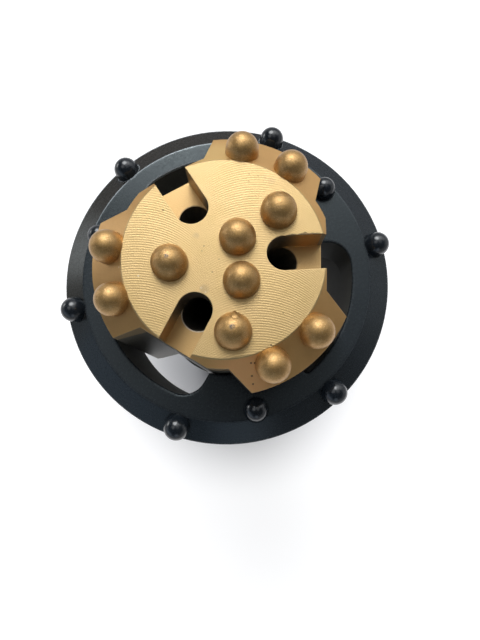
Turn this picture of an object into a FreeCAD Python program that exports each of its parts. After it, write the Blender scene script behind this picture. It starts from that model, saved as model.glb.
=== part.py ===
import FreeCAD, Part
import math
import os

# Concentric casing drilling set: a pilot bit standing on its shank end, with a
# ring bit carried on the three wings of the pilot by a bayonet.
# Millimetres. Z is the common axis, +Z is the drilling direction, and Z = 0 is
# the end of the shank. +X is the middle of the first flushing slot.

bay_count = 3                  # wings, slots, flats, lugs and pockets per turn
bay_pitch = 360.0 / bay_count

# Pilot shank, from its end upwards.
shank_land_d = 72.0            # bearing land at the shank end
shank_land_len = 30.0
shank_neck_d = 62.0            # neck that the retaining ring works on
shank_neck_len = 56.0
spline_od = 77.0
spline_root_d = 66.0
spline_len = 60.0
spline_count = 8
spline_w = 13.0
spline_start = 1.0             # plain root below the splines
spline_runout = 6.0            # length of the sloping end of each spline
collar_d = 84.0                # plain collar between splines and head
collar_len = 13.0
shank_chamfer = 2.5
foot_bore_d = 32.0             # takes the foot tube of the hammer
foot_bore_len = 72.0
foot_bore_mouth = 3.0          # chamfer at its mouth
air_hole_d = 24.0              # from the foot bore up to the flushing holes
air_hole_stop = 60.0           # solid steel left above the air hole

# Pilot head.
head_len = 114.0               # from the collar to the drilling face
wing_od = 109.4
head_bevel_w = 14.1            # bevel round the drilling face, measured inwards
head_bevel_deg = 31.7          # fall of the wing tops from the plane of the face
body_d = 88.8                  # round body between the wings
wing_w = 48.8
wing_shift = -5.4              # sideways shift of a wing from the axis
wing_deg = 72.0                # direction of the sides of the first wing
flat_dist = 40.9               # side flats, from the axis
flat_deg = -4.0
head_rear_chamfer = 3.0

# Flushing slots and holes.
slot_w = 14.2
slot_start = 24.3              # centre of the round inner end of a slot
slot_depth = 14.8
flush_hole_inset = 1.1         # from the centre of the slot end inwards, at the slot floor
flush_hole_tilt = 18.0

# Buttons of the pilot.
face_button_d = 14.6
face_button_reach = 1.4        # straight part standing above the face
face_button_grip = 14.0        # length pressed into the body
inner_button_pos = 9.4         # distance of each face button from the axis, then its direction
inner_button_deg = 50.5
centre_button_pos = 12.3
centre_button_deg = -57.0
middle_button_pos = 21.4
middle_button_deg = 185.0
outer_button_inset = 11.8      # these two are measured from the edge of the face inwards
outer_button_deg = 37.0
edge_button_inset = 10.2
edge_button_deg = 274.5
wing_button_d = 13.8
wing_button_reach = 1.8
wing_button_grip = 11.0
wing_button_inset = 8.3        # from the edge of the wing inwards, measured level
wing_button_deg = 64.7         # middle of the first pair
wing_button_spread = 13.3      # each button of a pair, to either side of the middle

# Ring bit.
ring_wall = 18.3               # from the wall of the pockets to the outside
ring_bevel_w = 10.1            # bevel of the cutting edge, measured inwards
ring_bevel_h = 6.8
ring_h = 66.0
ring_crest_r = 0.9             # rounding between the face and the bevel
ring_head_h = 38.0             # full diameter part, from the face down
sleeve_wall = 6.8              # from the pocket wall to the outside of the rear sleeve
sleeve_groove_w = 6.4
sleeve_groove_depth = 2.2
sleeve_groove_pos = 8.0        # from the rear end to the groove
sleeve_chamfer = 1.5
lug_h = 24.0
pocket_side_dist = 16.0        # side walls of a pocket, from the axis
pocket_side_deg = 17.5         # spread of each side wall from the pocket middle
pocket_corner_r = 10.5         # corner that a wing enters beside
pocket_drive_r = 2.5           # corner beside the driven side of a lug
pocket_edge = 0.6              # broken edge round a pocket
lug_deg = 39.5                 # middle of the first lug when locked
pilot_lead = 31.0              # height of the pilot face above the ring face

# Buttons of the ring.
ring_button_d = 11.2
ring_button_reach = 2.0
ring_button_grip = 11.0
ring_button_count = 6
ring_button_shift = 30.0       # turn of the first bevel button from the first lug
ring_button_inset = 0.4        # from the middle of the bevel towards the face
lug_button_d = 10.4
lug_button_reach = 1.4
lug_button_grip = 14.0
lug_button_gap = 2.0           # from the path of the wings outwards

# Clearances of the bayonet.
wing_gap = 3.0                 # wing diameter to the wall of the pockets and of the rear bore
lug_inner_gap = 0.6            # round body of the pilot to the inner ends of the lugs
lug_side_gap = 0.5             # lug side to the end of the wing groove
lug_top_gap = 0.8
lug_seat_gap = 0.3

button_chamfer = 1.0           # lead at the pressed end of every button

# Heights that follow.
neck_z = shank_land_len
spline_z = neck_z + shank_neck_len
collar_z = spline_z + spline_len
head_z = collar_z + collar_len
face_z = head_z + head_len
ring_face_z = face_z - pilot_lead
ring_z = ring_face_z - ring_h

# Widths, slopes and places that follow.
head_bevel = math.tan(math.radians(head_bevel_deg))
head_face_d = wing_od - 2 * head_bevel_w
flush_hole_d = slot_w
flush_hole_pos = slot_start - flush_hole_inset
pocket_d = wing_od + 2 * wing_gap
ring_od = pocket_d + 2 * ring_wall
ring_face_d = ring_od - 2 * ring_bevel_w
ring_bevel_deg = math.degrees(math.atan2(ring_bevel_h, ring_bevel_w))
ring_sleeve_d = pocket_d + 2 * sleeve_wall
lug_d = body_d + 2 * lug_inner_gap
ring_button_pos = (ring_od - ring_bevel_w) / 2 - ring_button_inset
lug_button_pos = (wing_od + lug_button_d) / 2 + lug_button_gap
wing_button_pos = wing_od / 2 - wing_button_inset
face_button_spots = [
    (inner_button_pos, inner_button_deg),
    (centre_button_pos, centre_button_deg),
    (middle_button_pos, middle_button_deg),
    (head_face_d / 2 - outer_button_inset, outer_button_deg),
    (head_face_d / 2 - edge_button_inset, edge_button_deg),
]

# Helper lengths of the cutting and joining solids.
over = 1.0                     # how far they run past a face that they meet
reach = ring_od                # longer than any flat, slot or pocket
match = 0.01                   # how near an edge lies to the place it is picked by

AXIS = FreeCAD.Vector(0, 0, 1)
HOME = FreeCAD.Vector(0, 0, 0)


def turned(shape, angle):
    copy = shape.copy()
    copy.rotate(HOME, AXIS, angle)
    return copy


def around(shape, count=bay_count):
    return [turned(shape, 360.0 * k / count) for k in range(count)]


def revolved(points):
    corners = [FreeCAD.Vector(r, 0, z) for r, z in points]
    wire = Part.makePolygon(corners + [corners[0]])
    return Part.Face(wire).revolve(HOME, AXIS, 360)


def disc(d, z0, z1):
    return Part.makeCylinder(d / 2, z1 - z0, FreeCAD.Vector(0, 0, z0))


def slab(x0, x1, y0, y1, z0, z1):
    return Part.makeBox(x1 - x0, y1 - y0, z1 - z0, FreeCAD.Vector(x0, y0, z0))


# A button along +Z: its pressed end is below Z = 0, its dome above.
def button(d, reach, grip):
    r = d / 2
    top = FreeCAD.Vector(0, 0, reach + r)
    shoulder = FreeCAD.Vector(r, 0, reach)
    middle = FreeCAD.Vector(r * math.sin(math.radians(45)), 0, reach + r * math.cos(math.radians(45)))
    foot = [(0, -grip), (r - button_chamfer, -grip), (r, button_chamfer - grip)]
    low = [FreeCAD.Vector(x, 0, z) for x, z in foot]
    edges = [Part.makeLine(low[0], low[1]), Part.makeLine(low[1], low[2])]
    edges.append(Part.makeLine(low[2], shoulder))
    edges.append(Part.Arc(shoulder, middle, top).toShape())
    edges.append(Part.makeLine(top, low[0]))
    return Part.Face(Part.Wire(edges)).revolve(HOME, AXIS, 360)


# The hole that a button is pressed into, with its bottom at the button's end.
def button_hole(d, grip):
    return Part.makeCylinder(d / 2, grip + d, FreeCAD.Vector(0, 0, -grip))


# Puts a shape made along +Z at a distance from the axis and leans it outwards.
def placed(shape, pos, z, angle, lean=0.0):
    copy = shape.copy()
    copy.rotate(HOME, FreeCAD.Vector(0, 1, 0), lean)
    copy.translate(FreeCAD.Vector(pos, 0, z))
    return turned(copy, angle)


def on_face(shape, spot):
    return placed(shape, spot[0], face_z, spot[1])


def on_wing(shape, angle):
    z = face_z - (wing_button_pos - head_face_d / 2) * head_bevel
    return placed(shape, wing_button_pos, z, angle, head_bevel_deg)


def wing_button_angles():
    middles = [wing_button_deg + bay_pitch * k for k in range(bay_count)]
    return [m + side * wing_button_spread for m in middles for side in (-1, 1)]


def on_bevel(shape, angle):
    z = ring_face_z - (ring_button_pos - ring_face_d / 2) * ring_bevel_h / ring_bevel_w
    return placed(shape, ring_button_pos, z, angle, ring_bevel_deg)


def ring_button_angles():
    first = lug_deg - ring_button_shift
    return [first + 360.0 * k / ring_button_count for k in range(ring_button_count)]


def on_lug(shape, angle):
    return placed(shape, lug_button_pos, ring_face_z, angle)


def lug_button_angles():
    return [lug_deg + bay_pitch * k for k in range(bay_count)]


# Head envelope: wing diameter with the bevel falling from the face.
def head_envelope():
    r = wing_od / 2
    c = head_rear_chamfer
    edge_z = face_z - (r - head_face_d / 2) * head_bevel
    return revolved([(0, head_z), (r - c, head_z), (r, head_z + c), (r, edge_z),
                     (head_face_d / 2, face_z), (0, face_z)])


def head_section():
    z0 = head_z - over
    z1 = face_z + over
    core = disc(body_d, z0, z1)
    flat = slab(flat_dist, reach, -reach, reach, z0 - over, z1 + over)
    core = core.cut(around(turned(flat, flat_deg)))
    near = flat_dist / 2
    wing = slab(near, wing_od, wing_shift - wing_w / 2, wing_shift + wing_w / 2, z0, z1)
    return core.fuse(around(turned(wing, wing_deg)))


# Room for a lug beside its wing, from the open side up to the end wall that
# drives the ring.
def lug_groove():
    z0 = ring_face_z - lug_h - lug_seat_gap
    z1 = ring_face_z + lug_top_gap
    room = disc(wing_od + 2 * over, z0, z1).cut(disc(body_d, z0 - over, z1 + over))
    wall = lug_side_gap - pocket_side_dist
    side = slab(0, reach, -reach, wall, z0 - over, z1 + over)
    wall_deg = lug_deg + bay_pitch / 2 - pocket_side_deg
    return room.common(turned(side, wall_deg))


def flushing_slot():
    floor_z = face_z - slot_depth
    rounded = disc(slot_w, floor_z, face_z + over)
    rounded.translate(FreeCAD.Vector(slot_start, 0, 0))
    straight = slab(slot_start, reach, -slot_w / 2, slot_w / 2, floor_z, face_z + over)
    return rounded.fuse(straight)


def flushing_hole():
    lean = math.radians(flush_hole_tilt)
    down = FreeCAD.Vector(-math.sin(lean), 0, -math.cos(lean))
    mouth = FreeCAD.Vector(flush_hole_pos, 0, face_z - slot_depth)
    start = mouth - down * flush_hole_d / 2
    return Part.makeCylinder(flush_hole_d / 2, air_hole_stop, start, down)


def air_passage():
    foot = foot_bore_d / 2
    hole = air_hole_d / 2
    mouth = foot_bore_mouth
    top = face_z - air_hole_stop
    return revolved([(0, -over), (foot + mouth + over, -over), (foot, mouth), (foot, foot_bore_len),
                     (hole, foot_bore_len), (hole, top), (0, top + hole / 2)])


def shank():
    land = shank_land_d / 2
    neck = shank_neck_d / 2
    root = spline_root_d / 2
    collar = collar_d / 2
    c = shank_chamfer
    step = land - neck
    return revolved([(0, 0), (land - c, 0), (land, c), (land, neck_z - c), (land - step, neck_z - c + step),
                     (neck, spline_z - c), (root, spline_z), (root, collar_z),
                     (collar - c, collar_z), (collar, collar_z + c), (collar, head_z), (0, head_z)])


def spline():
    root = spline_root_d / 2
    tip = spline_od / 2
    core = math.sqrt(root ** 2 - (spline_w / 2) ** 2) - over
    z0 = spline_z + spline_start
    z1 = collar_z + over
    edge = [(core, z0), (root, z0), (tip, z0 + spline_runout), (tip, z1), (core, z1)]
    corners = [FreeCAD.Vector(r, -spline_w / 2, z) for r, z in edge]
    bar = Part.Face(Part.makePolygon(corners + [corners[0]])).extrude(FreeCAD.Vector(0, spline_w, 0))
    return bar.common(disc(spline_od, z0 - over, z1 + over))


def pilot_shank():
    body = shank().fuse(around(spline(), spline_count))
    return body.cut(air_passage()).removeSplitter()


def pilot_body():
    body = head_envelope().common(head_section())
    cuts = around(lug_groove()) + around(flushing_slot()) + around(flushing_hole())
    cuts.append(air_passage())
    face_hole = button_hole(face_button_d, face_button_grip)
    wing_hole = button_hole(wing_button_d, wing_button_grip)
    cuts += [on_face(face_hole, spot) for spot in face_button_spots]
    cuts += [on_wing(wing_hole, angle) for angle in wing_button_angles()]
    return body.cut(cuts).removeSplitter()


# Outside of the ring with its bore at the lug circle in front and at the
# pocket wall behind the lugs.
def ring_blank():
    outer = ring_od / 2
    face = ring_face_d / 2
    sleeve = ring_sleeve_d / 2
    wall = pocket_d / 2
    lug = lug_d / 2
    c = sleeve_chamfer
    top = ring_face_z
    head = top - ring_head_h
    g0 = ring_z + sleeve_groove_pos
    g1 = g0 + sleeve_groove_w
    groove = sleeve - sleeve_groove_depth
    seat = top - lug_h
    return revolved([(lug, seat), (lug, top), (face, top), (outer, top - ring_bevel_h), (outer, head + c),
                     (outer - c, head), (sleeve, head), (sleeve, g1), (groove, g1), (groove, g0), (sleeve, g0),
                     (sleeve, ring_z + c), (sleeve - c, ring_z), (wall + c, ring_z), (wall, ring_z + c),
                     (wall, seat)])


def on_ring_face(edge):
    box = edge.BoundBox
    return abs(box.ZMin - ring_face_z) < match and box.ZLength < match


# Circle between the face and the bevel.
def crest_edges(shape):
    return [e for e in shape.Edges if on_ring_face(e) and abs(e.BoundBox.XLength - ring_face_d) < match]


# Everything on the face inside the crest, apart from the crest itself.
def mouth_edges(shape):
    return [e for e in shape.Edges if on_ring_face(e) and e.BoundBox.XLength < pocket_d - over]


# Through pocket between two lugs, with its middle on +X.
def pocket():
    z0 = ring_face_z - lug_h - over
    z1 = ring_face_z + over
    lean = math.radians(pocket_side_deg)
    corners = []
    for side in (1, -1):
        across = FreeCAD.Vector(-math.sin(lean), side * math.cos(lean), 0)
        along = FreeCAD.Vector(math.cos(lean), side * math.sin(lean), 0)
        ends = [across * pocket_side_dist, across * pocket_side_dist + along * ring_od]
        corners += ends if side > 0 else ends[::-1]
    lifted = [corner + AXIS * z0 for corner in corners]
    plan = Part.Face(Part.makePolygon(lifted + [lifted[0]]))
    room = plan.extrude(AXIS * (z1 - z0)).common(disc(pocket_d, z0, z1))
    for side, radius in ((1, pocket_corner_r), (-1, pocket_drive_r)):
        room = room.makeFillet(radius, [edge for edge in room.Edges if pocket_corner(edge, side)])
    return room


def pocket_corner(edge, side):
    middle = edge.CenterOfMass
    far = abs(math.hypot(middle.x, middle.y) - pocket_d / 2) < match
    return far and edge.BoundBox.ZLength > lug_h and middle.y * side > 0


def ring_body():
    body = ring_blank()
    body = body.makeFillet(ring_crest_r, crest_edges(body))
    body = body.cut(around(turned(pocket(), lug_deg - bay_pitch / 2)))
    body = body.makeChamfer(pocket_edge, mouth_edges(body))
    bevel_hole = button_hole(ring_button_d, ring_button_grip)
    lug_hole = button_hole(lug_button_d, lug_button_grip)
    cuts = [on_bevel(bevel_hole, angle) for angle in ring_button_angles()]
    cuts += [on_lug(lug_hole, angle) for angle in lug_button_angles()]
    return body.cut(cuts).removeSplitter()


def sub_parts():
    parts = {"pilot_body": pilot_body(), "pilot_shank": pilot_shank(), "ring_body": ring_body()}
    face_button = button(face_button_d, face_button_reach, face_button_grip)
    for number, spot in enumerate(face_button_spots, 1):
        parts["pilot_face_button_%d" % number] = on_face(face_button, spot)
    wing_button = button(wing_button_d, wing_button_reach, wing_button_grip)
    for number, angle in enumerate(wing_button_angles(), 1):
        parts["pilot_wing_button_%d" % number] = on_wing(wing_button, angle)
    ring_button = button(ring_button_d, ring_button_reach, ring_button_grip)
    for number, angle in enumerate(ring_button_angles(), 1):
        parts["ring_bevel_button_%d" % number] = on_bevel(ring_button, angle)
    lug_button = button(lug_button_d, lug_button_reach, lug_button_grip)
    for number, angle in enumerate(lug_button_angles(), 1):
        parts["ring_lug_button_%d" % number] = on_lug(lug_button, angle)
    return parts


def main():
    os.makedirs("parts", exist_ok=True)
    for name, shape in sub_parts().items():
        shape.exportStep("parts/%s.step" % name)
        box = shape.BoundBox
        size = (box.XLength, box.YLength, box.ZLength)
        print(name, shape.isValid(), len(shape.Solids), "%.1f x %.1f x %.1f" % size, "%.0f mm3" % shape.Volume)


main()
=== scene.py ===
# %% [markdown]
# # Ring bit on its pilot, seen from above
# This lesson dresses a casing drilling set. A gold pilot bit stands on its
# shank, and a black ring bit hangs on the three wings of the pilot. Both carry
# domed buttons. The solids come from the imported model, so this script lights
# them, looks at them, gives each surface its finish and adds one run of paint.

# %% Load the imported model
import bmesh, bpy, math
from mathutils import Euler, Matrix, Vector


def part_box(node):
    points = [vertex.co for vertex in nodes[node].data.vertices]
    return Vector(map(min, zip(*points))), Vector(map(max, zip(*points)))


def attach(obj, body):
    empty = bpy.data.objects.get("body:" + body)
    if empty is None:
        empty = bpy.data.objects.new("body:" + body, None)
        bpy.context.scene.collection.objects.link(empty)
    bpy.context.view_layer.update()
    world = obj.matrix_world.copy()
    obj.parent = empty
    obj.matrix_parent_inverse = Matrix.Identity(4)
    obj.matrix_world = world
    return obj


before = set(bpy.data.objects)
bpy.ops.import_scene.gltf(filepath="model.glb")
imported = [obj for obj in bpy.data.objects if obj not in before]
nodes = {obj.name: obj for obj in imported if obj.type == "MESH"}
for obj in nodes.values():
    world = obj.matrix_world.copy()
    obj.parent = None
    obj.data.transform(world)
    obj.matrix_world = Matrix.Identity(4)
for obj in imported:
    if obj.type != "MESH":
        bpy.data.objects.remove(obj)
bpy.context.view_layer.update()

# %% [markdown]
# ## Measures from the frame
# Paint and marks need a height to lie at. It could be typed in, but then it
# would be wrong after the model changes, so it is measured on the real pieces:
# the drilling face is the top of the pilot's head. The middle of a button's top
# is measured the same way, where something sits on that button.

# %% Measures from the frame
millimetre = 0.001
face_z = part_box("pilot_body")[1][2]


def top_of(name):
    low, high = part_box(name)
    return Vector(((low[0] + high[0]) / 2, (low[1] + high[1]) / 2, high[2]))


# %% [markdown]
# ## Camera
# The set was looked at from almost straight above, from less than a quarter of
# a metre over the ring, so the near head looks large against the ring. A short
# lens close by gives this widening; a long lens far away would flatten it.

# %% Camera close above the head
camera_place = (0.00529, -0.05592, 0.45625)
camera_turn = (9.266, 0.476, -2.9)
camera_data = bpy.data.cameras.new("camera")
camera_data.sensor_fit = "VERTICAL"
camera_data.sensor_height = 36.0
camera_data.lens = 27.0
camera_data.clip_start = 0.01
camera = bpy.data.objects.new("camera", camera_data)
camera.location = camera_place
camera.rotation_euler = Euler([math.radians(angle) for angle in camera_turn])
bpy.context.scene.collection.objects.link(camera)
bpy.context.scene.camera = camera
bpy.context.scene.view_settings.view_transform = "Standard"
print("camera", tuple(round(c, 3) for c in camera.location), "lens", camera_data.lens)

# %% [markdown]
# ## Helpers for node trees
# Every finish is a small net of nodes. Nodes could be placed and linked one by
# one, but that buries the idea under wiring. These helpers make a node with its
# inputs in one line, and give short names to the few sums that come back often.


# %% Node helpers
def fill(tree, piece, values):
    for name, value in values.items():
        socket = piece.inputs[name]
        if isinstance(value, bpy.types.NodeSocket):
            tree.links.new(value, socket)
        else:
            socket.default_value = value


def node(tree, kind, inputs=None, **settings):
    made = tree.nodes.new(kind)
    for name, value in settings.items():
        setattr(made, name, value)
    fill(tree, made, inputs or {})
    return made


def math_node(tree, operation, a, b=0.0, clamp=False):
    made = node(tree, "ShaderNodeMath", {0: a, 1: b}, operation=operation, use_clamp=clamp)
    return made.outputs[0]


def times(tree, a, b):
    return math_node(tree, "MULTIPLY", a, b)


def plus(tree, a, b):
    return math_node(tree, "ADD", a, b)


def vector_node(tree, operation, a, b=None):
    inputs = {0: a} if b is None else {0: a, 1: b}
    return node(tree, "ShaderNodeVectorMath", inputs, operation=operation).outputs


def ramp(tree, value, low, high, out_low=0.0, out_high=1.0, smooth=False):
    ends = {"Value": value, "From Min": low, "From Max": high, "To Min": out_low, "To Max": out_high}
    kind = "SMOOTHSTEP" if smooth else "LINEAR"
    return node(tree, "ShaderNodeMapRange", ends, interpolation_type=kind).outputs["Result"]


print("node helpers ready")

# %% [markdown]
# ## Floor
# The set stands on a white sheet. A sheet that only glows would show no shadow,
# and one that only reflects would turn grey in this dim room. So it is a plain
# diffuse surface, which takes the soft shadow, and a little light of its own,
# only for the rays that look at it, lifts the open sheet to white. The light
# fades in beside the foot of the set, so the grey sheet under the set is a
# painted shadow, and out again far away, so the white round the set is a
# painted pool of light.

# %% White sheet
sheet_size = 60.0
paper_colour = (0.55, 0.545, 0.56, 1)
lift_colour, lift_level = (1, 1, 1, 1), 0.76
shadow_disc_edge = (0.045, 0.15)
glow_pool_edge = (0.38, 0.85, 1.0, 0.0)

floor_mesh = bpy.data.meshes.new("sheet")
shape = bmesh.new()
bmesh.ops.create_grid(shape, x_segments=1, y_segments=1, size=sheet_size)
shape.to_mesh(floor_mesh)
shape.free()
floor = bpy.data.objects.new("sheet", floor_mesh)
bpy.context.scene.collection.objects.link(floor)
floor_look = bpy.data.materials.new("white_sheet")
floor_look.use_nodes = True
tree = floor_look.node_tree
tree.nodes.clear()
here = node(tree, "ShaderNodeTexCoord").outputs["Object"]
away = vector_node(tree, "LENGTH", here)["Value"]
# Painted shadow near the foot and a painted pool of light further out: the glow rises beside the foot and
# fades far away.
glow_pool = ramp(tree, away, *shadow_disc_edge, smooth=True)
glow_pool = times(tree, glow_pool, ramp(tree, away, *glow_pool_edge, smooth=True))
paper = node(tree, "ShaderNodeBsdfDiffuse", {"Color": paper_colour})
path = tree.nodes.new("ShaderNodeLightPath")
seen = plus(tree, path.outputs["Is Camera Ray"], path.outputs["Is Glossy Ray"])
seen = math_node(tree, "ADD", seen, path.outputs["Is Transmission Ray"], clamp=True)
glow = times(tree, times(tree, seen, glow_pool), lift_level)
lift = node(tree, "ShaderNodeEmission", {"Color": lift_colour, "Strength": glow})
both = node(tree, "ShaderNodeAddShader", {0: paper.outputs[0], 1: lift.outputs[0]})
node(tree, "ShaderNodeOutputMaterial", {"Surface": both.outputs[0]})
floor_mesh.materials.append(floor_look)
print("sheet", floor.dimensions[:])

# %% [markdown]
# ## Groups
# An effect that comes back is a node group with named sockets, made once and
# placed wherever it is needed. The nodes could be copied instead, but then a
# change would have to be made in every copy. One helper starts a group with its
# sockets, the other places it and fills them.

# %% Group helpers
FLOAT, VECTOR = "NodeSocketFloat", "NodeSocketVector"


def new_group(name, takes, gives):
    tree = bpy.data.node_groups.new(name, "ShaderNodeTree")
    for label, kind, value in takes:
        socket = tree.interface.new_socket(label, in_out="INPUT", socket_type=kind)
        if value is not None:
            socket.default_value = value
    for label, kind in gives:
        tree.interface.new_socket(label, in_out="OUTPUT", socket_type=kind)
    start = tree.nodes.new("NodeGroupInput")
    end = tree.nodes.new("NodeGroupOutput")
    return tree, start.outputs, end.inputs


def use_group(tree, group, **inputs):
    made = node(tree, "ShaderNodeGroup", node_tree=group)
    fill(tree, made, {name.replace("_", " "): value for name, value in inputs.items()})
    return made.outputs


print("group helpers ready")

# %% [markdown]
# ## Light
# One large window behind the top of the view lights the set, and the rest of
# the room is dim. That is why the flat gold face is bright, the bevels that
# lean away from the window are brown, and the black ring shows a single grey
# sheen. Lamps could do this, but each would need its own size and place. The
# room is a world shader made of soft round patches instead, each with a
# direction, an inner and an outer angle and a level, so that moving a lamp is
# one number. First comes the patch, as a group that adds its light to the rest.

# %% Soft patch group
takes = [("Way", VECTOR, None), ("Aim", VECTOR, None), ("Inner", FLOAT, 6.0), ("Outer", FLOAT, 18.0),
         ("Level", FLOAT, 1.0), ("Before", FLOAT, 0.0)]
patch_group, given, wanted = new_group("soft_patch", takes, [("Light", FLOAT)])
towards = vector_node(patch_group, "DOT_PRODUCT", given["Way"], given["Aim"])["Value"]
full = math_node(patch_group, "COSINE", math_node(patch_group, "RADIANS", given["Inner"]))
none = math_node(patch_group, "COSINE", math_node(patch_group, "RADIANS", given["Outer"]))
glow = times(patch_group, ramp(patch_group, towards, none, full, smooth=True), given["Level"])
patch_group.links.new(plus(patch_group, glow, given["Before"]), wanted["Light"])
print("group", patch_group.name)

# %% [markdown]
# ## The room
# The patches are listed by name, with azimuth, height, inner and outer angle
# in degrees, and level. A picture of a real room would do the same work, but
# no single lamp in it could be moved. The camera doesn't see the patches, only
# the low even light of the walls, so that a view from the side has a calm
# background. The front left of the room is a little cooler, which gives the
# ring its bluish lower slope.

# %% Patches of light
patches = {
    "window": (97, 48, 8, 21, 5.45),
    "window glow": (82, 45, 10, 36, 1.3),
    "left strip": (152, 4, 3, 15, 3.2),
    "left wall": (184, 4, 8, 30, 0.16),
    "front lamp": (272, 20, 5, 18, 0.5),
    "high left": (162, 68, 6, 19, 0.8),
    "right glow": (46, 32, 8, 28, 0.9),
    "right wall": (12, 6, 10, 36, 0.22),
    "front left wall": (220, 6, 8, 34, 0.27),
    "high right": (25, 70, 8, 22, 0.4),
}


def aim_at(azimuth, height):
    azimuth, height = math.radians(azimuth), math.radians(height)
    level = math.cos(height)
    return (math.cos(azimuth) * level, math.sin(azimuth) * level, math.sin(height))


def split(tree, vector):
    return node(tree, "ShaderNodeSeparateXYZ", {0: vector}).outputs


def mix_colour(tree, factor, a, b):
    made = node(tree, "ShaderNodeMix", {0: factor, 6: a, 7: b}, data_type="RGBA")
    return made.outputs[2]


print("light patches", list(patches))

# %% Room around the set
wall_light = (0.03, 0.45, 0.36, 0.05)
cool_azimuth, cool_height = 232, 10
cool_reach = (0.35, 0.9)
day_light, cool_light = (0.97, 0.99, 1.0, 1), (0.80, 0.94, 1.12, 1)

world = bpy.data.worlds.new("room")
bpy.context.scene.world = world
world.use_nodes = True
tree = world.node_tree
tree.nodes.clear()
way = node(tree, "ShaderNodeTexCoord").outputs["Generated"]
light = 0.0
for azimuth, height, inner, outer, level in patches.values():
    light = use_group(tree, patch_group, Way=way, Aim=aim_at(azimuth, height), Inner=inner,
                      Outer=outer, Level=level, Before=light)["Light"]
path = tree.nodes.new("ShaderNodeLightPath")
hidden = math_node(tree, "SUBTRACT", 1.0, path.outputs["Is Camera Ray"])
walls = ramp(tree, split(tree, way)["Z"], *wall_light, smooth=True)
light = plus(tree, times(tree, light, hidden), walls)
cool_side = vector_node(tree, "DOT_PRODUCT", way, aim_at(cool_azimuth, cool_height))["Value"]
cool = times(tree, ramp(tree, cool_side, *cool_reach, smooth=True), hidden)
light_colour = mix_colour(tree, cool, day_light, cool_light)
back = node(tree, "ShaderNodeBackground", {"Color": light_colour, "Strength": light})
node(tree, "ShaderNodeOutputWorld", {"Surface": back.outputs[0]})
print("world", world.name, "cooler towards", cool_azimuth, "degrees")

# %% [markdown]
# ## Paint grain
# Sprayed paint is never quite even. Fine noise changes its gloss and leaves a
# faint orange peel, and wide noise makes clouds in its colour. A picture of
# real paint would need unwrapped surfaces, and noise needs none. As a group it
# serves all five finishes, each with its own sizes. Nearly all values of such
# noise lie in a middle span, and that span is stretched where it is used.


# %% Paint grain group
def noise(tree, vector, scale, detail, roughness=0.5):
    ends = {"Vector": vector, "Scale": scale, "Detail": detail, "Roughness": roughness}
    return node(tree, "ShaderNodeTexNoise", ends).outputs["Fac"]


noise_span = (0.3, 0.7)
takes = [("Vector", VECTOR, None), ("Size", FLOAT, 900.0), ("Blotch", FLOAT, 60.0)]
grain_group, given, wanted = new_group("paint_grain", takes, [("Grain", FLOAT), ("Clouds", FLOAT)])
fine = noise(grain_group, given["Vector"], given["Size"], 3.0)
wide = noise(grain_group, given["Vector"], given["Blotch"], 4.0, roughness=0.6)
grain_group.links.new(fine, wanted["Grain"])
grain_group.links.new(wide, wanted["Clouds"])
print("group", grain_group.name, "used between", noise_span)

# %% [markdown]
# ## Worn and highlighted edges
# Paint thins over a sharp edge, and on the ring's window side the same mask
# carries a painted highlight line. The Bevel node rounds the normal near an edge,
# and where the rounded and the true normal part, there is an edge. The group
# gives that mask and the rounded normal, which also catches a line of light.
# Cutting real roundings into the solids would cost many faces for the same line.

# %% Edge group for wear and highlight lines
takes = [("Radius", FLOAT, 0.0004), ("Spread", FLOAT, 0.25)]
edge_group, given, wanted = new_group("edge_wear_and_highlight", takes, [("Mask", FLOAT), ("Normal", VECTOR)])
rounded = node(edge_group, "ShaderNodeBevel", {"Radius": given["Radius"]}, samples=6).outputs[0]
true_normal = node(edge_group, "ShaderNodeNewGeometry").outputs["Normal"]
alike = vector_node(edge_group, "DOT_PRODUCT", rounded, true_normal)["Value"]
apart = math_node(edge_group, "SUBTRACT", 1.0, alike)
mask = math_node(edge_group, "DIVIDE", apart, given["Spread"], clamp=True)
edge_group.links.new(mask, wanted["Mask"])
edge_group.links.new(rounded, wanted["Normal"])
print("group", edge_group.name)

# %% [markdown]
# ## Milling marks
# The flat face was milled before it was painted. A round cutter moving up the
# face leaves a row of arcs, each a little further on. The height of such a row
# is worked out from the arc through each point: how far the point lies above
# the circle, divided by the feed, gives the place in the groove. A ready wave
# texture makes only full rings or straight bands, so the arcs are made by hand.

# %% Milling mark group
least_inside = 0.02
cutter_fade = (0.9, 0.55)
takes = [("Vector", VECTOR, None), ("Middle", FLOAT, 0.0), ("Cutter radius", FLOAT, 0.032),
         ("Feed", FLOAT, 0.001)]
marks_group, given, wanted = new_group("milling_marks", takes, [("Groove", FLOAT), ("Reach", FLOAT)])
spot = split(marks_group, given["Vector"])
across = math_node(marks_group, "SUBTRACT", spot["X"], given["Middle"])
share = math_node(marks_group, "DIVIDE", across, given["Cutter radius"])
inside = math_node(marks_group, "SUBTRACT", 1.0, times(marks_group, share, share))
inside = math_node(marks_group, "MAXIMUM", inside, least_inside)
arc = times(marks_group, math_node(marks_group, "SQRT", inside), given["Cutter radius"])
beyond = math_node(marks_group, "SUBTRACT", spot["Y"], arc)
turns = math_node(marks_group, "DIVIDE", beyond, given["Feed"])
wave = math_node(marks_group, "SINE", times(marks_group, turns, 2 * math.pi))
reach = ramp(marks_group, math_node(marks_group, "ABSOLUTE", share), *cutter_fade, smooth=True)
marks_group.links.new(wave, wanted["Groove"])
marks_group.links.new(reach, wanted["Reach"])
print("group", marks_group.name)

# %% [markdown]
# ## Three bays folded into one
# The head repeats three times round its axis. A rule for each hole would be
# written three times; turning each point back into the first bay lets one rule
# serve all three flushing holes and slots. The group also tells which bay a
# point came from.

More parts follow.
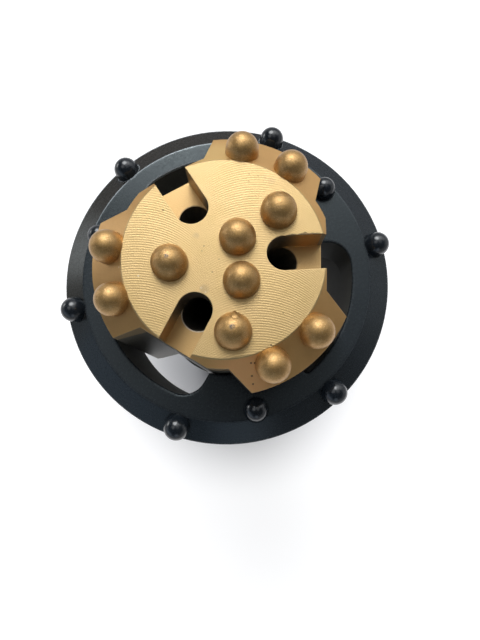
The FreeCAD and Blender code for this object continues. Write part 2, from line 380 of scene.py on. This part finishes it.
# %% Bay fold group
bay_angle = math.radians(120)
fold_group, given, wanted = new_group("bay_fold", [("Vector", VECTOR, None)],
                                      [("Folded", VECTOR), ("Bay", FLOAT)])
spot = split(fold_group, given["Vector"])
turn = math_node(fold_group, "ARCTAN2", spot["Y"], spot["X"])
bay = math_node(fold_group, "ROUND", math_node(fold_group, "DIVIDE", turn, bay_angle))
back = times(fold_group, bay, -bay_angle)
folded = node(fold_group, "ShaderNodeVectorRotate", {"Vector": given["Vector"], "Angle": back},
              rotation_type="Z_AXIS")
fold_group.links.new(folded.outputs[0], wanted["Folded"])
fold_group.links.new(bay, wanted["Bay"])
print("group", fold_group.name)

# %% [markdown]
# ## Distance from a bore
# Soot and the bright lip follow a bore. The group gives the distance of a point
# from the bore's centre line, from a point on the line and its direction: the
# length of the cross product is that distance. Painting a mask by hand would
# give the same picture, but it would stay behind if the bore moved.

# %% Bore distance group
takes = [("Vector", VECTOR, None), ("Point", VECTOR, None), ("Direction", VECTOR, None)]
bore_group, given, wanted = new_group("bore_distance", takes, [("Distance", FLOAT)])
offset = vector_node(bore_group, "SUBTRACT", given["Vector"], given["Point"])["Vector"]
crossed = vector_node(bore_group, "CROSS_PRODUCT", offset, given["Direction"])["Vector"]
bore_group.links.new(vector_node(bore_group, "LENGTH", crossed)["Value"], wanted["Distance"])
print("group", bore_group.name)

# %% [markdown]
# ## Spots
# The paint has a few small pits, flecks and smudges. Each is a dot with a soft
# edge at its own place, and the group adds its dot to the mask that comes in,
# so that any number can be chained. A noise would be less work, but its spots
# would lie elsewhere than on the real piece. In a list, a spot is written as x,
# y, the depth below the drilling face and its radius, all in millimetres.

# %% Spot group
dot_edge = (1.3, 0.6)
takes = [("Vector", VECTOR, None), ("Place", VECTOR, None), ("Radius", FLOAT, 0.0004), ("Before", FLOAT, 0.0)]
spot_group, given, wanted = new_group("soft_spot", takes, [("Mask", FLOAT)])
gap = vector_node(spot_group, "DISTANCE", given["Vector"], given["Place"])["Value"]
dot = ramp(spot_group, math_node(spot_group, "DIVIDE", gap, given["Radius"]), *dot_edge)
spot_group.links.new(math_node(spot_group, "MAXIMUM", dot, given["Before"]), wanted["Mask"])


def add_spot(tree, place, middle, radius, before=0.0):
    return use_group(tree, spot_group, Vector=place, Place=middle, Radius=radius, Before=before)["Mask"]


def add_spots(tree, place, spots):
    mask = 0.0
    for x, y, depth, radius in spots:
        middle = (x * millimetre, y * millimetre, face_z - depth * millimetre)
        mask = add_spot(tree, place, middle, radius * millimetre, mask)
    return mask


print("group", spot_group.name)

# %% [markdown]
# ## Start of a finish
# Every finish starts with an empty material, the place of each point on the
# piece, and one Principled shader. Some also ask how a surface stands and how
# far a point lies from the axis. The rise is the upward share of the normal: 1
# on a level face, 0 on an upright one. Splitting the meshes into parts by hand
# could say the same, but a mask from the normal keeps each piece whole.


# %% Helpers for the finishes
def start_finish(name):
    look = bpy.data.materials.new(name)
    look.use_nodes = True
    tree = look.node_tree
    tree.nodes.clear()
    place = node(tree, "ShaderNodeTexCoord").outputs["Object"]
    shader = node(tree, "ShaderNodeBsdfPrincipled")
    node(tree, "ShaderNodeOutputMaterial", {"Surface": shader.outputs[0]})
    return look, tree, place, shader


def rise_of(tree):
    return split(tree, node(tree, "ShaderNodeTexCoord").outputs["Normal"])["Z"]


def from_axis(tree, place):
    level = vector_node(tree, "MULTIPLY", place, (1, 1, 0))["Vector"]
    return vector_node(tree, "LENGTH", level)["Value"]


def above(tree, value, limit):
    return math_node(tree, "GREATER_THAN", value, limit)


def under(tree, value, limit):
    return math_node(tree, "LESS_THAN", value, limit)


print("finish helpers ready")

# %% [markdown]
# ## Gold paint of the pilot
# The pilot is turned and milled steel, sprayed from the front with a satin
# gold paint full of fine metal flakes. What faces the spray is gold: paler on
# the milled face and browner on the bevels. This is partly the paint and partly
# painted light: the face gets a lit copy of the gold and the bevels a shaded
# one. The upright sides got hardly any and stay dark, the walls of the
# flushing holes are black with soot, and the inner ends of the slot walls are
# darkened nearly as black. Separate materials on parts of the head would show
# hard borders, so one metallic shader with a soft lobe carries it all, and
# masks say where each colour lies.

# %% Where the paint lies
flat_distance = 0.0409
sides_start = flat_distance - 0.0004
level_faces = (0.93, 0.99)
steep_faces = (0.40, 0.12)
hanging_faces = (0.0, -0.3)
top_skin = 0.0003

gold_paint, tree, place, shader = start_finish("gold_paint")
rise = rise_of(tree)
height = split(tree, place)["Z"]
grain = use_group(tree, grain_group, Vector=place, Size=2200.0, Blotch=70.0)
edge = use_group(tree, edge_group, Radius=0.0004, Spread=0.2)
on_flat = ramp(tree, rise, *level_faces)
on_top = above(tree, height, face_z - top_skin)
off_top = math_node(tree, "SUBTRACT", 1.0, on_top)
outside = above(tree, from_axis(tree, place), sides_start)
bare = times(tree, ramp(tree, rise, *steep_faces), outside)
bare = math_node(tree, "MAXIMUM", bare, ramp(tree, rise, *hanging_faces))
print("upright sides are bare beyond", round(sides_start, 4), "from the axis")

# %% [markdown]
# ## Milled face
# Two passes of the cutter crossed the face, and where they meet the marks of
# both show. Each pass is one use of the milling group, turned a little as the
# piece lay on the machine. The grooves are too fine for the mesh, so they go
# into the normal with the grain of the paint.


# %% Milled face
def mapped(tree, vector, **ends):
    return node(tree, "ShaderNodeMapping", {"Vector": vector, **ends}).outputs[0]


mill_turn = (0, 0, math.radians(2.9))
cutter_r = 0.034
pass_middles = (-0.035, 0.013)
groove_share, peel_share = 0.3, 1.6

turned = mapped(tree, place, Rotation=mill_turn)
groove = 0.0
for middle in pass_middles:
    one_pass = use_group(tree, marks_group, Vector=turned, Middle=middle, Cutter_radius=cutter_r)
    groove = plus(tree, groove, times(tree, one_pass["Groove"], one_pass["Reach"]))
groove = times(tree, groove, on_top)
relief = plus(tree, times(tree, groove, groove_share), times(tree, grain["Grain"], peel_share))
bump = node(tree, "ShaderNodeBump", {"Height": relief, "Strength": 0.3, "Distance": 0.0002,
                                     "Normal": edge["Normal"]})
print("cutter radius", cutter_r, "passes at", pass_middles)

# %% [markdown]
# ## Colours of the gold
# The gold is palest on the milled face and browner on the bevels. This is
# partly the paint and partly painted light: a paler copy for the lit face and a
# browner one for the bevels in shade. The wing patches are painted light and
# shade as well. The pale one lightens the first wing, which faces the window.
# The brown one darkens the second, which leans away from it. The rosy one
# lightens and reddens the third, and is partly a tint of the paint. One colour
# with noise would miss this. Each patch is a very large soft spot, laid over the
# gold through its mask, as a painter does with a stencil. The share says how
# thick a colour lies.

# %% Colours of the gold, with painted light and shade
milled_lit_dark, milled_lit_light = (0.645, 0.455, 0.20, 1), (0.705, 0.50, 0.235, 1)
bevel_shade_dark, bevel_shade_light = (0.69, 0.41, 0.155, 1), (0.76, 0.46, 0.18, 1)
other_flats = (0.69, 0.455, 0.195, 1)
edge_gold = (0.82, 0.64, 0.36, 1)
wing_light_and_shade = {
    "rosy": ((7.0, -47.0, 5.0, 13.0), (1.0, 0.535, 0.22, 1), 0.8),
    "brown": ((-43.8, -23.3, 5.6, 24.0), (0.49, 0.28, 0.10, 1), 0.9),
    "pale": ((-1.2, 44.2, 2.2, 9.0), (0.84, 0.575, 0.235, 1), 0.9),
}


def lay(tree, tone, mask, colour, share=1.0):
    return mix_colour(tree, times(tree, mask, share), tone, colour)


clouds = ramp(tree, grain["Clouds"], *noise_span)
# Painted light: the milled face takes a paler, lit gold and the bevels a browner, shaded gold.
milled_lit_gold = mix_colour(tree, clouds, milled_lit_dark, milled_lit_light)
bevel_shaded_gold = mix_colour(tree, clouds, bevel_shade_dark, bevel_shade_light)
tone = mix_colour(tree, on_flat, bevel_shaded_gold, other_flats)
tone = mix_colour(tree, on_top, tone, milled_lit_gold)
# Painted light and shade on the wings: the pale and rosy patches lighten, the brown patch darkens.
for patch, colour, share in wing_light_and_shade.values():
    on_wing = times(tree, off_top, add_spots(tree, place, [patch]))
    tone = lay(tree, tone, on_wing, colour, share)
tone = lay(tree, tone, edge["Mask"], edge_gold, share=0.3)
print("wing patches", list(wing_light_and_shade))

# %% [markdown]
# ## Wear of the gold
# The head shows small dark pits, pale flecks where the paint chipped, and dull
# brown smudges. Scattering them by noise would be quicker, but here each is
# placed one by one where the real one is. The clouds of the grain break up the
# smudges, so that they don't look like discs.

# %% Wear of the gold
pits = [(-7.5, 4.5, 0, 0.25), (-8.4, 2.5, 0, 0.2), (12.0, 33.9, 0, 0.22), (11.8, 30.9, 0, 0.2),
        (15.6, 32.9, 0, 0.2), (-23.4, 20.4, 0, 0.35), (-1.8, -1.2, 0, 0.22), (-4.7, -6.3, 0, 0.25),
        (22.1, -24.1, 0, 0.22), (16.7, -36.3, 0, 0.35), (8.7, -42.7, 1.8, 0.4),
        (8.8, -47.5, 4.8, 0.42), (9.1, -50.6, 6.7, 0.4), (10.2, -42.7, 2.1, 0.45)]
flecks = [(-43.3, -3.4, 0, 0.45), (-41.8, -2.2, 0.4, 0.4), (-33.8, -6.3, 0, 0.35),
          (-9.3, -12.4, 0, 0.35), (-7.6, -14.2, 0, 0.3)]
smudges = [(-6.3, 4.8, 0, 1.7), (-10.5, 8.8, 0, 1.4), (14.4, 33.0, 0, 1.5), (17.2, 31.9, 0, 1.8),
           (21.0, 30.4, 0, 1.6), (-8.0, -13.0, 0, 1.8)]
pit_brown, fleck_pale = (0.06, 0.035, 0.02, 1), (0.95, 0.86, 0.66, 1)
smudge_brown, bare_steel = (0.42, 0.29, 0.17, 1), (0.105, 0.093, 0.070, 1)
smudge_break = (0.42, 0.62)

tone = lay(tree, tone, add_spots(tree, place, pits), pit_brown, share=0.9)
tone = lay(tree, tone, add_spots(tree, place, flecks), fleck_pale, share=0.7)
patchy = times(tree, add_spots(tree, place, smudges), ramp(tree, grain["Clouds"], *smudge_break))
tone = lay(tree, tone, patchy, smudge_brown, share=0.6)
tone = lay(tree, tone, bare, bare_steel)
print("pits", len(pits), "flecks", len(flecks), "smudges", len(smudges))

# %% [markdown]
# ## Soot in the flushing holes, dark ends of the slots
# Air with oil and rock dust leaves the holes, so their walls are black. The inner
# end of each slot's wall is darkened nearly to the same black. Three painted
# masks would do, but the fold brings all three bays to the first, and the bore
# distance then finds the wall of the hole below the slot floor. The sizes are
# those of the model.

# %% Soot in the holes and dark slot ends
slot_width, slot_depth, slot_start = 0.0142, 0.0148, 0.0243
hole_inset, hole_lean = 0.0011, math.radians(18)
hole_r = slot_width / 2
hole_place = slot_start - hole_inset
slot_floor = face_z - slot_depth
hole_way = (-math.sin(hole_lean), 0, -math.cos(hole_lean))
hole_rim = (hole_r + 0.0006, hole_r + 0.0001)
floor_blend, slot_skin = 0.0004, 0.0002
slot_wall_faces = (0.5, 0.3)
dark_end_reach = (slot_start + 0.010, slot_start - 0.001)
dark_end_share = 0.92
wall_gold, soot_and_end_black = (0.50, 0.33, 0.14, 1), (0.09, 0.084, 0.07, 1)

fold = use_group(tree, fold_group, Vector=place)
along = split(tree, fold["Folded"])["X"]
hole = use_group(tree, bore_group, Vector=fold["Folded"], Point=(hole_place, 0, slot_floor),
                 Direction=hole_way)["Distance"]
below = ramp(tree, height, slot_floor + floor_blend, slot_floor - floor_blend)
soot_and_dark_ends = times(tree, ramp(tree, hole, *hole_rim), below)
slot_wall = times(tree, ramp(tree, rise, *slot_wall_faces), under(tree, height, face_z - slot_skin))
slot_wall = times(tree, slot_wall, above(tree, height, slot_floor - slot_skin))
# The inner end of each slot's wall is darkened nearly to black.
dark_wall_end = times(tree, slot_wall, ramp(tree, along, *dark_end_reach, smooth=True))
soot_and_dark_ends = math_node(tree, "MAXIMUM", soot_and_dark_ends, times(tree, dark_wall_end, dark_end_share))
tone = lay(tree, tone, slot_wall, wall_gold, share=0.5)
tone = lay(tree, tone, soot_and_dark_ends, soot_and_end_black)
print("hole radius", hole_r, "soot below", round(slot_floor, 4))

# %% [markdown]
# ## Bright lip and ragged edge
# Two marks belong to one bay each. The third hole has a bright lip on its outer
# side, where the drill left a burr, and the upper edge of the first slot is
# ragged and dark. They could be pieces of mesh, but both are almost flat, so
# colour is enough. The bay number from the fold picks the right bay: 0 is the
# first, 1 the second and -1 the third. Noise that changes only along the slot
# moves the ragged line.

# %% Bright lip and ragged edge
third_bay_below, first_bay_number = -0.5, 0.0
lip_rim = (hole_r + 0.0006, hole_r + 0.0003)
lip_start = hole_place + 0.001
lip_pale, ragged_brown = (0.90, 0.80, 0.64, 1), (0.12, 0.085, 0.045, 1)
ragged_size, ragged_noise = 260.0, (0.35, 0.7)
ragged_edge = (slot_width / 2 - 0.0001, slot_width / 2 + 0.0013)
ragged_ends = ((slot_start + 0.017, slot_start + 0.013), (slot_start - 0.002, slot_start + 0.001))

third_bay = under(tree, fold["Bay"], third_bay_below)
first_bay = math_node(tree, "COMPARE", fold["Bay"], first_bay_number)
at_floor = times(tree, on_flat, under(tree, height, face_z - millimetre))
lip = times(tree, ramp(tree, hole, *lip_rim), times(tree, third_bay, above(tree, along, lip_start)))
tone = lay(tree, tone, times(tree, lip, at_floor), lip_pale, share=0.7)
side = split(tree, fold["Folded"])["Y"]
uneven = noise(tree, mapped(tree, place, Scale=(1, 0, 0)), ragged_size, 2.0)
ragged_line = ramp(tree, uneven, *ragged_noise, *ragged_edge)
ragged = times(tree, under(tree, side, ragged_line), above(tree, side, 0.0))
ragged = times(tree, ragged, times(tree, first_bay, on_top))
for end in ragged_ends:
    ragged = times(tree, ragged, ramp(tree, along, *end))
tone = lay(tree, tone, ragged, ragged_brown, share=0.8)
print("lip from", round(lip_start, 4), "ragged edge at", ragged_edge)

# %% [markdown]
# ## Gold shader
# Plain yellow paint would look dull, and bare metal too sharp. Paint full of
# flakes is a metallic shader with a soft lobe under a thin rough coat, which
# gives the pale sheen on top of the gold. Soot, the dark slot ends and bare
# sides aren't metallic paint, so their masks take the metal away again.

# %% Gold shader
paint_metal, soot_and_end_metal, bare_metal_loss = 0.95, 0.1, 0.7
gold_gloss, bare_extra_rough = (0.44, 0.54), 0.12

metal = ramp(tree, soot_and_dark_ends, 0.0, 1.0, paint_metal, soot_and_end_metal)
metal = math_node(tree, "SUBTRACT", metal, times(tree, bare, bare_metal_loss), clamp=True)
rough = ramp(tree, grain["Grain"], *noise_span, *gold_gloss)
rough = plus(tree, rough, times(tree, bare, bare_extra_rough))
fill(tree, shader, {"Base Color": tone, "Metallic": metal, "Roughness": rough, "Coat Weight": 0.35,
                    "Coat Roughness": 0.35, "Normal": bump.outputs[0]})
print("finish", gold_paint.name)

# %% [markdown]
# ## Dark steel of the shank
# The shank is turned, hardened and oiled, and carries no paint. A lathe leaves
# fine rings along it, so its gloss changes with the height, and the splines
# are polished by the hammer along their edges. Noise squeezed to thin layers
# makes the rings uneven, which a plain wave would not.

# %% Dark turned steel
ring_squeeze = (0.02, 0.02, 1.0)
ring_size = 1800.0
grain_share = 0.5
steel_gloss = (0.34, 0.46)
steel_dark, steel_light = (0.20, 0.195, 0.18, 1), (0.28, 0.275, 0.26, 1)
polished = (0.50, 0.49, 0.47, 1)

turned_steel, tree, place, shader = start_finish("turned_steel")
grain = use_group(tree, grain_group, Vector=place, Size=900.0, Blotch=45.0)
edge = use_group(tree, edge_group, Radius=0.0008, Spread=0.2)
rings = noise(tree, mapped(tree, place, Scale=ring_squeeze), ring_size, 3.0)
tone = mix_colour(tree, ramp(tree, grain["Clouds"], *noise_span), steel_dark, steel_light)
tone = lay(tree, tone, edge["Mask"], polished, share=0.6)
relief = plus(tree, rings, times(tree, grain["Grain"], grain_share))
bump = node(tree, "ShaderNodeBump", {"Height": relief, "Strength": 0.15, "Distance": 0.0002,
                                     "Normal": edge["Normal"]})
rough = ramp(tree, rings, *noise_span, *steel_gloss)
fill(tree, shader, {"Base Color": tone, "Metallic": 0.95, "Roughness": rough, "Normal": bump.outputs[0]})
print("finish", turned_steel.name)

# %% [markdown]
# ## Gold paint on the buttons
# The same paint lies on the carbide domes with a fine sparkle, and the round
# form shows the light from bright to nearly brown. Loose flakes as tiny pieces
# would be far too many, so a finer noise than the grain picks the light and the
# dark ones. Two domes are worn through near the top, where grey carbide shows.

# %% Gold on the domes
dome_dark, dome_light = (0.53, 0.306, 0.100, 1), (0.62, 0.372, 0.136, 1)
dome_gloss = (0.42, 0.53)
sparkle_size = 3200.0
light_flakes, flake_light = (0.56, 0.68), (0.90, 0.68, 0.38, 1)
dark_flakes, flake_dark = (0.44, 0.34), (0.30, 0.18, 0.08, 1)
worn_tops = {"pilot_face_button_5": (-0.19, 0.71, 1.1), "pilot_face_button_3": (-0.08, 0.47, 0.9)}
worn_break, carbide = (0.30, 0.55), (0.075, 0.08, 0.085, 1)

gold_on_domes, tree, place, shader = start_finish("gold_on_buttons")
grain = use_group(tree, grain_group, Vector=place, Size=2000.0, Blotch=260.0)
sparkle = noise(tree, place, sparkle_size, 1.0)
tone = mix_colour(tree, ramp(tree, grain["Clouds"], *noise_span), dome_dark, dome_light)
tone = lay(tree, tone, ramp(tree, sparkle, *light_flakes), flake_light, share=0.45)
tone = lay(tree, tone, ramp(tree, sparkle, *dark_flakes), flake_dark, share=0.4)
worn = 0.0
for name, (right, up, radius) in worn_tops.items():
    middle = top_of(name) + Vector((right, up, 0)) * millimetre
    worn = add_spot(tree, place, middle, radius * millimetre, worn)
worn = times(tree, worn, ramp(tree, grain["Grain"], *worn_break))
tone = lay(tree, tone, worn, carbide, share=0.9)
bump = node(tree, "ShaderNodeBump", {"Height": grain["Grain"], "Strength": 0.4, "Distance": 0.0003})
rough = ramp(tree, grain["Grain"], *noise_span, *dome_gloss)
fill(tree, shader, {"Base Color": tone, "Metallic": 0.95, "Roughness": rough, "Coat Weight": 0.5,
                    "Coat Roughness": 0.4, "Normal": bump.outputs[0]})
print("finish", gold_on_domes.name, "worn tops", len(worn_tops))

# %% [markdown]
# ## Black of the ring: where it differs
# The ring is turned steel under a thin satin black. It isn't the same all
# round. The walls of the pockets are dull, and thin bright lines along the edges
# and the crest on the side towards the window are a painted highlight. A darker
# brownish tone on the upper left slope is painted shade. Painting these by hand
# would need unwrapped surfaces, so they are masks from the normal and from how
# far a point lies along a direction. The crest has its own mask, because the
# rounding between slope and face is wider than the edge group reaches.

# %% Masks of the ring
pocket_wall_r = 0.0577
pockets_end = pocket_wall_r + 0.0008
wall_faces = (0.6, 0.3)
crest_limits = ((0.995, 0.975), (0.84, 0.88))
slope_limits = ((0.90, 0.86), (0.5, 0.6))
window_way, shade_way = (-0.3, 0.95, 0), (-0.7, 0.7, 0)
window_side_reach, shade_reach = (0.03, 0.062, 0.05, 0.85), (0.025, 0.045)


def rise_between(tree, rise, limits):
    upper, lower = limits
    return times(tree, ramp(tree, rise, *upper), ramp(tree, rise, *lower))


black_paint, tree, place, shader = start_finish("black_paint")
rise = rise_of(tree)
inside = under(tree, from_axis(tree, place), pockets_end)
wall = times(tree, ramp(tree, rise, *wall_faces), inside)
on_crest = rise_between(tree, rise, crest_limits)
slope = rise_between(tree, rise, slope_limits)
# The side towards the window gets the painted highlight lines and more mottle.
to_window = vector_node(tree, "DOT_PRODUCT", place, window_way)["Value"]
window_side = ramp(tree, to_window, *window_side_reach, smooth=True)
to_film = vector_node(tree, "DOT_PRODUCT", place, shade_way)["Value"]
# Painted shade: a darker brownish tone on the upper left slope.
shaded_slope = times(tree, slope, ramp(tree, to_film, *shade_reach))
print("pocket walls within", round(pockets_end, 4), "of the axis")

# %% [markdown]
# ## Black paint
# The paint itself is nearly black with a cool tint. Its surface is mottled,
# more so on the side towards the window, in the normal and in the gloss. A plain
# dark colour would look like plastic; the mottle is what makes it paint on steel.

# %% Black paint
black_dark, black_light = (0.009, 0.012, 0.016, 1), (0.014, 0.018, 0.024, 1)
brown_slope_shade, dull_wall = (0.010, 0.005, 0.0, 1), (0.068, 0.062, 0.047, 1)
painted_highlight_line, cool_tint = (0.62, 0.68, 0.72, 1), (0.85, 0.97, 1.0, 1)
mottle_size, grain_share = 650.0, 0.7
relief_reach = (0.0, 0.05, 0.15, 1.0)
middle_rough, wall_extra_rough = 0.27, 0.3
window_side_swing = (0.05, 0.85, 0.02, 0.08)
mottle_swing = (0.32, 0.68, -1.0, 1.0)

grain = use_group(tree, grain_group, Vector=place, Size=1500.0, Blotch=40.0)
edge = use_group(tree, edge_group, Radius=0.0012, Spread=0.06)
mottle = noise(tree, place, mottle_size, 4.0, roughness=0.65)
relief = plus(tree, times(tree, grain["Grain"], grain_share), mottle)
relief = times(tree, relief, ramp(tree, to_window, *relief_reach))
bump = node(tree, "ShaderNodeBump", {"Height": relief, "Strength": 0.055, "Distance": 0.0002,
                                     "Normal": edge["Normal"]})
tone = mix_colour(tree, ramp(tree, grain["Clouds"], *noise_span), black_dark, black_light)
# Painted shade laid on the upper left slope.
tone = lay(tree, tone, shaded_slope, brown_slope_shade)
tone = lay(tree, tone, wall, dull_wall)
# Painted highlight: pale lines along the edges and the crest on the side towards the window.
highlight_lines = times(tree, math_node(tree, "MAXIMUM", edge["Mask"], on_crest), window_side)
tone = lay(tree, tone, highlight_lines, painted_highlight_line)
swing = times(tree, ramp(tree, window_side, *window_side_swing), ramp(tree, mottle, *mottle_swing))
rough = plus(tree, plus(tree, middle_rough, swing), times(tree, wall, wall_extra_rough))
fill(tree, shader, {"Base Color": tone, "Roughness": rough, "Specular Tint": cool_tint,
                    "Normal": bump.outputs[0]})
print("finish", black_paint.name)

# %% [markdown]
# ## Black on the ring's domes
# The carbide domes of the ring carry the same black, but on their smooth
# surface it dries glassy. A clear coat over the ring's black would do too, but
# a stronger and sharper reflection with almost no bump needs no second layer.

# %% Black on the ring's domes
glassy_dark, glassy_light = (0.010, 0.014, 0.019, 1), (0.014, 0.019, 0.026, 1)
glassy_gloss = (0.16, 0.22)

black_on_domes, tree, place, shader = start_finish("black_on_buttons")
grain = use_group(tree, grain_group, Vector=place, Size=1300.0, Blotch=120.0)
tone = mix_colour(tree, ramp(tree, grain["Clouds"], *noise_span), glassy_dark, glassy_light)
bump = node(tree, "ShaderNodeBump", {"Height": grain["Grain"], "Strength": 0.02, "Distance": 0.0002})
rough = ramp(tree, grain["Clouds"], *noise_span, *glassy_gloss)
fill(tree, shader, {"Base Color": tone, "Roughness": rough, "Specular IOR Level": 0.85,
                    "Normal": bump.outputs[0]})
print("finish", black_on_domes.name)

# %% [markdown]
# ## A run of paint on one dome
# The dome nearest the third slot carries a small run, where thick paint set
# as a ridge. A bump in the finish would not break the dome's outline, as the
# real ridge does, so it is a piece. It starts as a sphere, is pinched towards
# its upper end, pressed flat and long, and then sits half sunk on the dome's
# upper side.

# %% Run of paint
run_dome = "pilot_face_button_5"
run_offset = (1.064, 5.408, -2.9)
run_up = Vector((0.14, 0.66, 0.74)).normalized()
run_width, run_length, run_height = 0.0016, 0.0026, 0.0008
run_pinch = 0.55

run_mesh = bpy.data.meshes.new("paint_run")
shape = bmesh.new()
bmesh.ops.create_uvsphere(shape, u_segments=24, v_segments=14, radius=1.0)
for corner in shape.verts:
    corner.co.x *= 1.0 - run_pinch * corner.co.y
bmesh.ops.scale(shape, vec=(run_width, run_length, run_height), verts=shape.verts)
lean = Vector((0, 0, 1)).rotation_difference(run_up).to_matrix()
bmesh.ops.rotate(shape, cent=(0, 0, 0), matrix=lean, verts=shape.verts)
run_middle = top_of(run_dome) + Vector(run_offset) * millimetre
bmesh.ops.translate(shape, vec=run_middle, verts=shape.verts)
for face in shape.faces:
    face.smooth = True
shape.to_mesh(run_mesh)
shape.free()
paint_run = bpy.data.objects.new("paint_run", run_mesh)
bpy.context.scene.collection.objects.link(paint_run)
paint_run.data.materials.append(gold_on_domes)
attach(paint_run, "pilot")
print("paint run", [round(side / millimetre, 2) for side in paint_run.dimensions], "mm")

# %% [markdown]
# ## Put the finishes on
# Each node of the model gets its finish by name: the three large bodies have
# their own, and the domes take the paint of the body that holds them. A list
# of all nodes could say this one by one, but the names already tell it.

# %% Put the finishes on
body_finishes = {"pilot_body": gold_paint, "pilot_shank": turned_steel, "ring_body": black_paint}
for name, piece in nodes.items():
    on_dome = gold_on_domes if name.startswith("pilot") else black_on_domes
    piece.data.materials.clear()
    piece.data.materials.append(body_finishes.get(name, on_dome))
print("dressed", len(nodes), "nodes")
